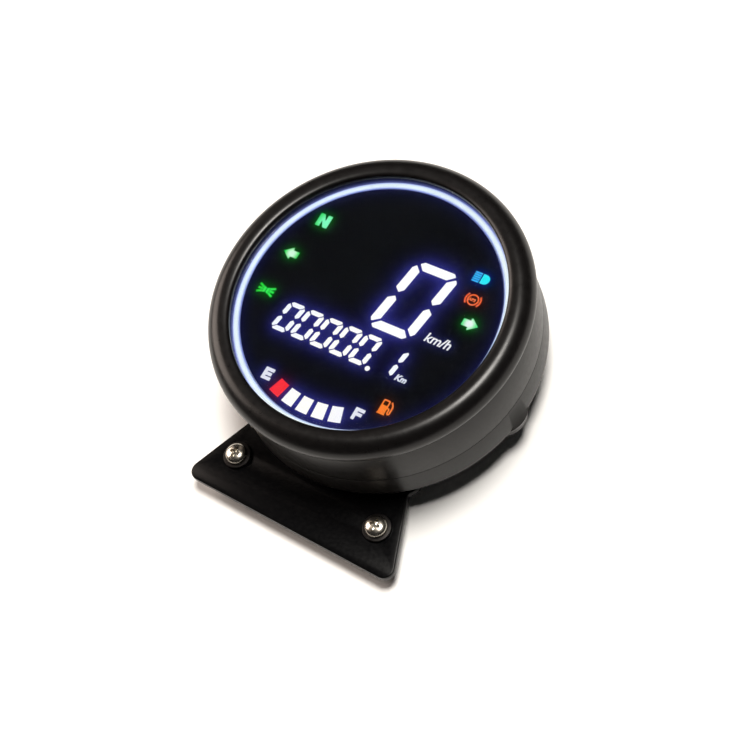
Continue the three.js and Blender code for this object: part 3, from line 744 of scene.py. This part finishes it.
def flatPlaces(piece):
    coordinates = np.zeros(len(piece.data.vertices) * 3)
    piece.data.vertices.foreach_get("co", coordinates)
    return coordinates.reshape(-1, 3) / mm


def buildDial():
    spacing, steps = 0.55, 480
    rim = dialHigh.x
    circles = round(rim / spacing)
    profile = [(0, dialTop)] + [(rim * k / circles, dialTop) for k in range(1, circles + 1)]
    profile += [(rim, dialLow.z), (0, dialLow.z)]
    dial = turned("dialFilm", profile, steps)
    finishPiece(dial, dialFilm, ["dial_mask"])
    places = flatPlaces(dial)
    setHalo(dial, hazeAt(places[:, :2]) * (places[:, 2:] > dialTop - 0.01))


trim = {"footGap": 0.3, "wallGap": 1.3, "rings": 9, "ringStep": 0.1, "footDrop": 0.3}


def buildTrim():
    footR, wallR = guide["outerR"] + trim["footGap"], guide["outerR"] + trim["wallGap"]
    profile = [(footR, trimLow.z), (trimHigh.x, trimLow.z), (trimHigh.x, trimHigh.z), (wallR, trimHigh.z),
        (wallR, dialTop)]
    profile += [(wallR - trim["ringStep"] * (k + 1), dialTop) for k in range(trim["rings"])]
    profile += [(footR, dialTop), (footR, dialTop - trim["footDrop"])]
    piece = turned("innerTrimRing", profile, 192)
    finishPiece(piece, trimPlastic, ["inner_trim_ring"])
    places = flatPlaces(piece)
    gap = np.maximum(np.hypot(places[:, 0], places[:, 1]) - guide["outerR"], 0)
    gap += np.maximum(places[:, 2] - dialTop, 0)
    glow = sum(share * np.exp(-gap / reach) for share, reach in (haze["trimNear"], haze["trimFar"]))
    setHalo(piece, glow[:, None] * np.array(haze["trimTint"]))


buildDial()
buildTrim()
print("dial lit")

# ---- casing ----
casing = {"jointR": 51.65, "rearRound": 4.4, "wall": 2.2, "floor": 2.4, "soft": 0.12, "seamRim": 0.9,
    "seamDrop": 0.2, "faceRise": 1.6, "rimRise": 6.0, "rimWide": 1, "rimDeep": 1.2, "shelfR": 46.9,
    "shelfThick": 1.2, "shelfBrace": 3.5, "screwPitchR": 43.4, "bossR": 4.5, "bossExtra": 1.7,
    "bossOutward": 1.015, "screwHoleR": 1.8, "headHoleR": 3.4, "studHoleR": 2.8, "ventHoleR": 2.9}
collar = {"outerR": 8.0, "boreR": 5.8, "boreTop": 12, "stemHoleR": 2.15, "topZ": 14.3, "foot": 1.4,
    "hollow": 2.5}
socket = {"y": 33.0, "half": (11, 5), "holeHalf": (11.3, 5.3), "flangeHalf": (13.5, 7.5), "flangeThick": 1.6,
    "mouthHalf": (10, 4), "mouthTop": 4.0, "ribX": 6, "ribHalf": 0.6, "latchHalf": 2.2, "soft": 0.22,
    "pinX": 5.5, "pinY": 2, "pinR": 0.6, "pinHoleR": 0.9}
buttonLow, buttonHigh = boxOf("mode_button")
buttonX, buttonY = middleOf("mode_button").xy
studPlaces = [middleOf(f"mounting_stud_{hand}") for hand in ("left", "right")]
socketLow, socketHigh = boxOf("connector_socket")
ventLow, ventHigh = boxOf("breather_vent")
ventX, ventY = middleOf("breather_vent").xy
faceZ = coverLow.z + casing["faceRise"]
coverCorners = [(casing["screwPitchR"] * cos(angle), casing["screwPitchR"] * sin(angle))
    for angle in (radians(45 + 90 * k) for k in range(4))]


def rodPiece(radius, baseZ, topZ, x=0.0, y=0.0, steps=48):
    return turned("rod", [(0, baseZ), (radius, baseZ), (radius, topZ), (0, topZ)], steps, (x, y))


def blockPiece(low, high):  # a box between two corners
    verts = [(x, y, z) for x in (low[0], high[0]) for y in (low[1], high[1]) for z in (low[2], high[2])]
    faces = [(0, 1, 3, 2), (4, 6, 7, 5), (0, 4, 5, 1), (2, 3, 7, 6), (0, 2, 6, 4), (1, 5, 7, 3)]
    return newPiece("block", verts, faces)


def socketBlock(half, lowZ, highZ):  # a box round the middle of the wiring socket
    return blockPiece((-half[0], socket["y"] - half[1], lowZ), (half[0], socket["y"] + half[1], highZ))


def buildHousing():
    baseZ, topZ, soft = housingLow.z, housingHigh.z, casing["soft"]
    jointR, shelfR, linerR = casing["jointR"], casing["shelfR"], bezel["innerR"] + 0.6
    innerR, shelfZ = jointR - casing["wall"], boxOf("display_carrier")[0].z - 0.3
    rimR, seamZ = jointR - casing["seamRim"], baseZ - casing["seamDrop"]
    shell = turned("frontHousing", softened([(innerR, baseZ), (rimR, baseZ), (rimR, seamZ),
        (jointR, seamZ, soft), (bezel["skirtR"], topZ, soft), (linerR, topZ), (linerR, shelfZ),
        (shelfR, shelfZ), (shelfR, shelfZ - casing["shelfThick"]), (innerR, shelfZ - casing["shelfBrace"])]),
        256)
    bossTop, outward = boxOf("main_circuit_board")[0].z - 0.6, casing["bossOutward"]
    for x, y in coverCorners:
        boss = rodPiece(casing["bossR"] + casing["bossExtra"], baseZ + 0.02, bossTop, x * outward,
            y * outward)
        shell = boolean(shell, boss, "UNION")
        shell = boolean(shell, rodPiece(casing["screwHoleR"], baseZ - 1, bossTop - 1, x, y, 24), "DIFFERENCE")
    finishPiece(shell, casingPaint, ["front_housing"])


def collarPiece():  # the raised ring round the button, which runs out into the casing's wall
    outerR = collar["outerR"]
    return turned("collar", softened([(0, coverLow.z), (outerR, coverLow.z, collar["foot"]),
        (outerR + 0.1, faceZ + 0.8, collar["hollow"]), (outerR + 0.9, faceZ + 3.4),
        (outerR - 0.6, faceZ + 6.4), (outerR - 2, collar["topZ"]), (0, collar["topZ"])], closed=False), 96,
        (buttonX, buttonY))


def buildRearCover():
    jointR, topZ, soft = casing["jointR"], coverHigh.z, casing["soft"]
    insideZ, innerR = faceZ + casing["floor"], jointR - casing["wall"] - 0.25
    stepR, stepZ = jointR - casing["rimWide"], topZ - casing["rimDeep"]
    shell = turned("rearCover", softened([(0, faceZ), (coverHigh.x, faceZ, casing["rearRound"]),
        (jointR, topZ, soft), (stepR, topZ), (stepR, stepZ), (innerR, stepZ),
        (innerR + 0.2, coverLow.z + casing["rimRise"]), (innerR - 2, insideZ, 1), (0, insideZ)], closed=False,
        steps=12), 256)
    shell = boolean(shell, collarPiece(), "UNION")
    boreTop = collar["boreTop"]
    cutters = [rodPiece(collar["boreR"], 0, boreTop, buttonX, buttonY, 64),
        rodPiece(collar["stemHoleR"], boreTop - 1, boreTop + 4, buttonX, buttonY)]
    for stud in studPlaces:
        cutters.append(rodPiece(casing["studHoleR"], 0, insideZ + 1, stud.x, stud.y))
    for x, y in coverCorners:
        shell = boolean(shell, rodPiece(casing["bossR"], insideZ - 0.5, topZ - 0.01, x, y), "UNION")
        cutters.append(rodPiece(casing["screwHoleR"], 0, topZ + 1, x, y, 24))
        cutters.append(rodPiece(casing["headHoleR"], 0, insideZ - 0.05, x, y))
    cutters.append(socketBlock(socket["holeHalf"], 0, insideZ + 1))
    cutters.append(rodPiece(casing["ventHoleR"], 0, insideZ + 1, ventX, ventY))
    for cutter in cutters:
        shell = boolean(shell, cutter, "DIFFERENCE")
    finishPiece(shell, casingPaint, ["rear_cover"])


buildHousing()
buildRearCover()
print("casing made")

# ---- rear fittings ----
fittings = {"threadPitch": 0.8, "threadDepth": 0.28, "bracketBoreR": 2.3, "bracketShankR": 2.0,
    "bracketHeadHigh": 2.2, "bracketNutWide": 7, "studBoreR": 2.8, "studR": 2.5, "studThreadTop": 2.2,
    "studFlangeR": 4.5, "studNutWide": 8, "coverHeadR": 3, "coverHeadHigh": 2.1, "coverShankR": 1.45,
    "coverTipR": 0.6}


def threadProfile(radius, lowZ, highZ):  # outer line of a thread drawn as close rings
    points = [(radius - 0.5, lowZ), (radius, lowZ + 0.5)]
    pitch, depth = fittings["threadPitch"], fittings["threadDepth"]
    for k in range(int((highZ - lowZ - 1) / pitch)):
        z = lowZ + 0.7 + k * pitch
        points += [(radius, z), (radius - depth, z + pitch / 2)]
    return points + [(radius, highZ)]


def hexNutPiece(name, acrossFlats, boreR, baseZ, topZ):
    corner = acrossFlats / sqrt(3)
    outline = [(corner * cos(radians(60 * k + 30)), corner * sin(radians(60 * k + 30))) for k in range(6)]
    prism = platePiece(name, [outline], baseZ, topZ)
    chamfer = acrossFlats * 0.045
    drum = turned("drum", [(0, baseZ), (acrossFlats / 2, baseZ), (corner + 0.02, baseZ + chamfer * 1.4),
        (corner + 0.02, topZ - chamfer * 1.4), (acrossFlats / 2, topZ), (0, topZ)], 96)
    nut = boolean(prism, drum, "INTERSECT")
    bore = turned("bore", [(0, baseZ - 1), (boreR + 0.5 + 1, baseZ - 1), (boreR, baseZ + 0.5),
        (boreR, topZ - 0.5), (boreR + 0.5 + 1, topZ + 1), (0, topZ + 1)], 48)
    return boolean(nut, bore, "DIFFERENCE")


def crossCutter(headR, baseZ, topZ):  # tapered cross recess
    arms = []
    for turn in (0, 90):
        low, high = headR * 0.38, headR * 0.58
        wide = headR * 0.13
        verts = [(-low, -wide, baseZ), (low, -wide, baseZ), (low, wide, baseZ), (-low, wide, baseZ),
            (-high, -wide * 1.25, topZ), (high, -wide * 1.25, topZ), (high, wide * 1.25, topZ),
            (-high, wide * 1.25, topZ)]
        faces = [(3, 2, 1, 0), (4, 5, 6, 7), (0, 1, 5, 4), (1, 2, 6, 5), (2, 3, 7, 6), (3, 0, 4, 7)]
        arm = newPiece("arm", verts, faces)
        arm.data.transform(Matrix.Rotation(radians(turn), 4, "Z"))
        arms.append(arm)
    return boolean(arms[0], arms[1], "UNION")


# domed cross-head screw, head base at baseZ
def screwPiece(name, headR, headHigh, shankR, baseZ, lowZ, steps=64):
    profile = [(0, lowZ)] + threadProfile(shankR, lowZ, baseZ - 0.6) + [(shankR, baseZ)]
    profile += softened([(headR, baseZ, 0.15), (headR, baseZ + headHigh * 0.3)], closed=False)
    profile += bezier(profile[-1], (headR * 0.93, baseZ + headHigh * 0.75), (headR * 0.5, baseZ + headHigh),
        (0, baseZ + headHigh), 12)
    body = turned(name, profile, steps)
    return boolean(body, crossCutter(headR, baseZ + headHigh * 0.35, baseZ + headHigh + 0.4), "DIFFERENCE")


def ringPiece(name, innerR, outerR, baseZ, topZ, soft, steps=64):
    return turned(name, softened([(innerR, baseZ, soft), (outerR, baseZ, soft), (outerR, topZ, soft),
        (innerR, topZ, soft)], steps=3), steps)


def pairOf(piece, material, nodeStem, name):  # the left and the right copy, where the two nodes are
    nodes = [f"{nodeStem}_left", f"{nodeStem}_right"]
    left, right = (middleOf(node).xy for node in nodes)
    both = repeated(piece, material, 2, (*left, 0), (*(right - left), 0))
    both.name = both.data.name = name
    finishPiece(both, material, nodes)


def widthRadius(node):  # half of a round node's width
    low, high = boxOf(node)
    return (high.x - low.x) / 2


def buildBracketScrews():
    boreR = fittings["bracketBoreR"]
    low, high = boxOf("bracket_washer_left")
    pairOf(ringPiece("washer", boreR, widthRadius("bracket_washer_left"), low.z, high.z, 0.18), darkOxide,
        "bracket_washer", "bracketWashers")
    low, high = boxOf("bracket_screw_left")
    headHigh = fittings["bracketHeadHigh"]
    screw = screwPiece("screw", widthRadius("bracket_screw_left"), headHigh, fittings["bracketShankR"],
        high.z - headHigh, low.z)
    pairOf(screw, brightZinc, "bracket_screw", "bracketScrews")
    low, high = boxOf("bracket_nut_left")
    pairOf(hexNutPiece("nut", fittings["bracketNutWide"], boreR, low.z, high.z), brightZinc,
        "bracket_nut", "bracketNuts")


def buildStuds():
    boreR, studR, flangeR = fittings["studBoreR"], fittings["studR"], fittings["studFlangeR"]
    low, high = boxOf("mounting_stud_left")
    flangeZ = high.z - 2.5
    profile = [(0, low.z)] + threadProfile(studR, low.z, fittings["studThreadTop"]) + [(studR, flangeZ)]
    profile += softened([(flangeR, flangeZ, 0.3), (flangeR, high.z, 0.3), (0, high.z)], closed=False)
    pairOf(turned("stud", profile, 64), brightZinc, "mounting_stud", "mountingStuds")
    low, high = boxOf("rubber_washer_left")
    pairOf(ringPiece("rubber", boreR, widthRadius("rubber_washer_left"), low.z, high.z, 0.3), rubberBlack,
        "rubber_washer", "rubberWashers")
    low, high = boxOf("stud_washer_left")
    pairOf(ringPiece("washer", boreR, widthRadius("stud_washer_left"), low.z, high.z, 0.12), brightZinc,
        "stud_washer", "studWashers")
    low, high = boxOf("stud_nut_left")
    pairOf(hexNutPiece("nut", fittings["studNutWide"], boreR, low.z, high.z), brightZinc,
        "stud_nut", "studNuts")


def buildCoverScrews():
    low, high = boxOf("cover_screw_1")
    headR, shankR = fittings["coverHeadR"], fittings["coverShankR"]
    headTop = low.z + fittings["coverHeadHigh"]
    body = turned("coverScrew", [(0, low.z)] + softened([(headR, low.z, 0.35), (headR, headTop, 0.1),
        (shankR, headTop), (shankR, high.z - 1), (fittings["coverTipR"], high.z), (0, high.z)], closed=False),
        48)
    body = boolean(body, crossCutter(headR, low.z - 1.5, low.z + 0.9), "DIFFERENCE")
    moved(body, casing["screwPitchR"], 0, 0)
    screws = repeated(body, brightZinc, 4, firstTurn=45, turnStep=90)
    screws.name = screws.data.name = "coverScrews"
    finishPiece(screws, brightZinc, [f"cover_screw_{k + 1}" for k in range(4)])


def bevelled(piece, width, segments=3, angle=35):
    tidyMesh(piece)
    edge = piece.modifiers.new("edge", "BEVEL")
    edge.width = width
    edge.segments = segments
    edge.limit_method = "ANGLE"
    edge.angle_limit = radians(angle)
    return asMesh(piece, piece.name)


def buildSocket():
    y, lowZ, flangeZ = socket["y"], socketLow.z, faceZ - 0.3
    body = socketBlock(socket["half"], lowZ, socketHigh.z)
    body.name = "wiringSocket"
    body = boolean(body, socketBlock(socket["flangeHalf"], flangeZ - socket["flangeThick"], flangeZ), "UNION")
    for x in (-socket["ribX"], 0, socket["ribX"]):
        rib = blockPiece((x - socket["ribHalf"], y - socket["half"][1] - 0.6, lowZ + 0.4),
            (x + socket["ribHalf"], y - socket["half"][1] + 0.1, flangeZ - socket["flangeThick"] + 0.1))
        body = boolean(body, rib, "UNION")
    latch = blockPiece((-socket["latchHalf"], y + socket["half"][1] - 0.1, lowZ + 1.2),
        (socket["latchHalf"], y + socket["half"][1] + 1.2, lowZ + 3.0))
    body = boolean(body, latch, "UNION")
    body = boolean(body, socketBlock(socket["mouthHalf"], lowZ - 1, socket["mouthTop"]), "DIFFERENCE")
    body = bevelled(body, socket["soft"])
    pinX, pinY, pinR = socket["pinX"], socket["pinY"], socket["pinR"]
    for row in (-pinY, pinY):
        for column in (-pinX, 0, pinX):
            hole = rodPiece(socket["pinHoleR"], socket["mouthTop"] - 1, socketHigh.z + 1, column, y + row, 24)
            body = boolean(body, hole, "DIFFERENCE")
    finishPiece(body, mouldedBlack, ["connector_socket"])
    low, high = boxOf("connector_pin_1")
    pin = turned("pin", [(0, low.z), (0.25, low.z), (pinR, low.z + 0.8), (pinR, high.z), (0, high.z)], 24)
    lower = repeated(pin, goldContact, 3, (-pinX, y - pinY, 0), (pinX, 0, 0))
    both = repeated(lower, goldContact, 2, (0, 0, 0), (0, 2 * pinY, 0))
    both.name = both.data.name = "contactPins"
    finishPiece(both, goldContact, [f"connector_pin_{k + 1}" for k in range(6)])


vent = {"capR": 4, "stemR": 2.6, "slits": 6, "slitHalf": 0.3, "slitFrom": 1.2, "slitDeep": 0.55}


def buildVent():
    capR, stemR, half = vent["capR"], vent["stemR"], vent["slitHalf"]
    brimZ = faceZ - 0.3
    cap = turned("breatherVent", softened([(0, ventLow.z), (capR, ventLow.z, 0.5), (capR, brimZ, 0.1),
        (stemR, brimZ), (stemR, ventHigh.z), (0, ventHigh.z)], closed=False), 64)
    slit = blockPiece((vent["slitFrom"], -half, ventLow.z - 0.5),
        (capR + 0.5, half, ventLow.z + vent["slitDeep"]))
    slits = repeated(slit, mouldedBlack, vent["slits"], turnStep=360 / vent["slits"])
    cap = boolean(cap, slits, "DIFFERENCE")
    moved(cap, ventX, ventY, 0)
    finishPiece(cap, mouldedBlack, ["breather_vent"])


button = {"stemR": 1.8, "capHigh": 4.7, "dish": 0.35, "ridge": (1.9, 2.3, 2.9, 3.3), "sealR": (4.9, 5.5)}


def buildButton():
    lowZ, highZ, stemR = buttonLow.z, buttonHigh.z, button["stemR"]
    capR, capTop, dishZ = widthRadius("mode_button"), lowZ + button["capHigh"], lowZ + button["dish"]
    ridge = button["ridge"]
    profile = softened([(0, dishZ), (ridge[0], dishZ, 0.3), (ridge[1], lowZ, 0.25), (ridge[2], lowZ, 0.25),
        (ridge[3], dishZ, 0.3), (capR, lowZ + 0.5, 0.7), (capR, capTop, 0.2), (stemR, capTop),
        (stemR, highZ, 0.3), (0, highZ)], closed=False)
    cap = turned("modeButton", profile, 96, (buttonX, buttonY))
    finishPiece(cap, rubberBlack, ["mode_button"], body=buttonBody)
    low, high = boxOf("button_seal")
    seal = ringPiece("buttonSeal", *button["sealR"], low.z, high.z, 0.15, 96)
    moved(seal, buttonX, buttonY, 0)
    finishPiece(seal, rubberBlack, ["button_seal"])


spring = {"meanR": 3.1, "wireR": 0.35, "turns": 4, "travel": 0.8}


def buildSpring():  # a helix that fills the spring's place, carried on the button's body
    low, high = boxOf("button_spring")
    coil = bpy.data.curves.new("buttonSpring", "CURVE")
    coil.dimensions = "3D"
    coil.bevel_depth = spring["wireR"]
    coil.bevel_resolution = 3
    coil.use_fill_caps = True
    line = coil.splines.new("POLY")
    count = spring["turns"] * 32
    line.points.add(count)
    for k, point in enumerate(line.points):
        angle = 2 * pi * spring["turns"] * k / count
        z = low.z + spring["wireR"] + (high.z - low.z - 2 * spring["wireR"]) * k / count
        point.co = (buttonX + spring["meanR"] * cos(angle), buttonY + spring["meanR"] * sin(angle), z, 1)
    piece = asMesh(addObject("buttonSpring", coil), "buttonSpring")
    finishPiece(piece, brightZinc, ["button_spring"], body=buttonBody)
    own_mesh(piece)


def buildBracket():
    shape = {"holeR": 2.3, "studHoleR": 2.8, "footY": -68, "footHalf": 41.8, "neckY": -40.4, "neckHalf": 30.6,
        "shoulderHalf": 32.4, "topY": 21, "footRound": 3.4, "topRound": 10, "edge": 0.45, "seatR": 5.9,
        "seatDepth": 0.4}
    right = [(shape["footHalf"], shape["footY"], shape["footRound"]),
        (shape["neckHalf"], shape["neckY"], 1.4), (shape["shoulderHalf"], shape["neckY"] + 2.8, 1.4),
        (shape["shoulderHalf"], shape["topY"], shape["topRound"])]
    left = [(-x, y, radius) for x, y, radius in right[::-1]]
    outline = [bracketPoint(*p) for p in softened(right + left, steps=8)]
    holes = [arc((p.x, p.y), shape["holeR"], 0, 350, 35) for p in (screwLeft, screwRight)]
    holes += [arc((p.x, p.y), shape["studHoleR"], 0, 350, 35) for p in studPlaces]
    plate = platePiece("bracketPlate", [outline] + holes, plateLow.z, plateHigh.z, shape["edge"])
    for stud in studPlaces:  # spot-faced seats under the stud washers
        seat = rodPiece(shape["seatR"], plateLow.z - 1, plateLow.z + shape["seatDepth"], stud.x, stud.y)
        plate = boolean(plate, seat, "DIFFERENCE")
    finishPiece(plate, bracketCoat, ["bracket_plate"], 60)


buildBracket()
buildBracketScrews()
buildStuds()
buildCoverScrews()
buildSocket()
buildVent()
buildButton()
buildSpring()
print("fittings made")

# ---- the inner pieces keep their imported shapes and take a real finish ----
innerFinishes = {"display_panel": mouldedBlack, "display_carrier": carrierWhite,
    "main_circuit_board": boardResist, "board_header": carrierWhite, "processor_chip": chipEpoxy,
    "voltage_regulator": chipEpoxy, "capacitor_1": chipEpoxy, "capacitor_2": chipEpoxy,
    "mode_switch": chipEpoxy, "housing_gasket": rubberBlack, "button_clip": brightZinc,}
ledFinish = litFinish("litLedPhosphor", "dfe8ff", "ffffff", (0, 0), 60, 1.0)
for number in range(1, 7):
    innerFinishes[f"ring_led_{number}"] = ledFinish
for number in range(1, 4):
    innerFinishes[f"board_screw_{number}"] = brightZinc
for node, finish in innerFinishes.items():
    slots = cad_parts[node].material_slots
    for slot in slots:
        slot.material = finish
print("inner pieces finished:", len(innerFinishes))

# ---- stage, lights and camera ----
stage = {"floorHalf": 3.0, "worldLevel": 0.02}
# direction from the gauge, distance and size in metres, power in watts
softboxes = {"topBox": {"towards": (0.13, 0.2, 0.97), "distance": 1.6, "size": 0.6, "power": 36,
    "tint": "fffaf3"}, "leftBox": {"towards": (-0.86, -0.05, 0.50), "distance": 1.4, "size": 1.0, "power": 16,
    "tint": "ffeee2"}}
viewpoint = {"aim": (14.083, -20.186), "azimuth": 57.0255, "elevation": 59.333, "distance": 496.316,
    "roll": -29.7115, "lens": 78.375}


def buildStage():
    corners = [(x * stage["floorHalf"], y * stage["floorHalf"], restZ * mm) for x,
        y in ((-1, -1), (1, -1), (1, 1), (-1, 1))]
    floor = newPiece("floor", corners, [(0, 1, 2, 3)])
    # pale seamless paper: white with a slow, faint unevenness
    floor.data.materials.append(solidFinish("palePaper", ("f4f4f3", "fafafa"), 60, (0.8, 0.9), 0.02, 2.0,
        level=0.1))
    world = bpy.data.worlds.new("studio")
    world.use_nodes = True
    backdrop = world.node_tree.nodes["Background"]
    backdrop.inputs["Color"].default_value = linear("ffffff")
    backdrop.inputs["Strength"].default_value = stage["worldLevel"]
    scene.world = world
    centre = Vector((0, -0.01, 0.02))
    for name, box in softboxes.items():
        light = bpy.data.lights.new(name, "AREA")
        light.shape = "DISK"
        light.size = box["size"]
        light.energy = box["power"]
        light.color = linear(box["tint"])[:3]
        lamp = addObject(name, light)
        away = Vector(box["towards"]).normalized()
        lamp.location = centre + away * box["distance"]
        lamp.rotation_euler = away.to_track_quat("Z", "Y").to_euler()


def buildCamera():
    azimuth, elevation = radians(viewpoint["azimuth"]), radians(viewpoint["elevation"])
    back = Vector((sin(azimuth) * cos(elevation), -cos(azimuth) * cos(elevation), sin(elevation)))
    level = Vector((0, 0, 1)).cross(back).normalized()
    upright = back.cross(level)
    roll = radians(viewpoint["roll"])
    right = level * cos(roll) + upright * sin(roll)
    up = back.cross(right)
    aim = Vector((viewpoint["aim"][0], viewpoint["aim"][1], dialTop)) * mm
    axes = Matrix((right, up, back)).transposed().to_4x4()
    camera = addObject("camera", bpy.data.cameras.new("camera"))
    camera.data.lens = viewpoint["lens"]
    camera.matrix_world = Matrix.Translation(aim + back * viewpoint["distance"] * mm) @ axes
    scene.camera = camera


buildStage()
buildCamera()
scene.view_settings.view_transform = "Standard"
print("stage set")
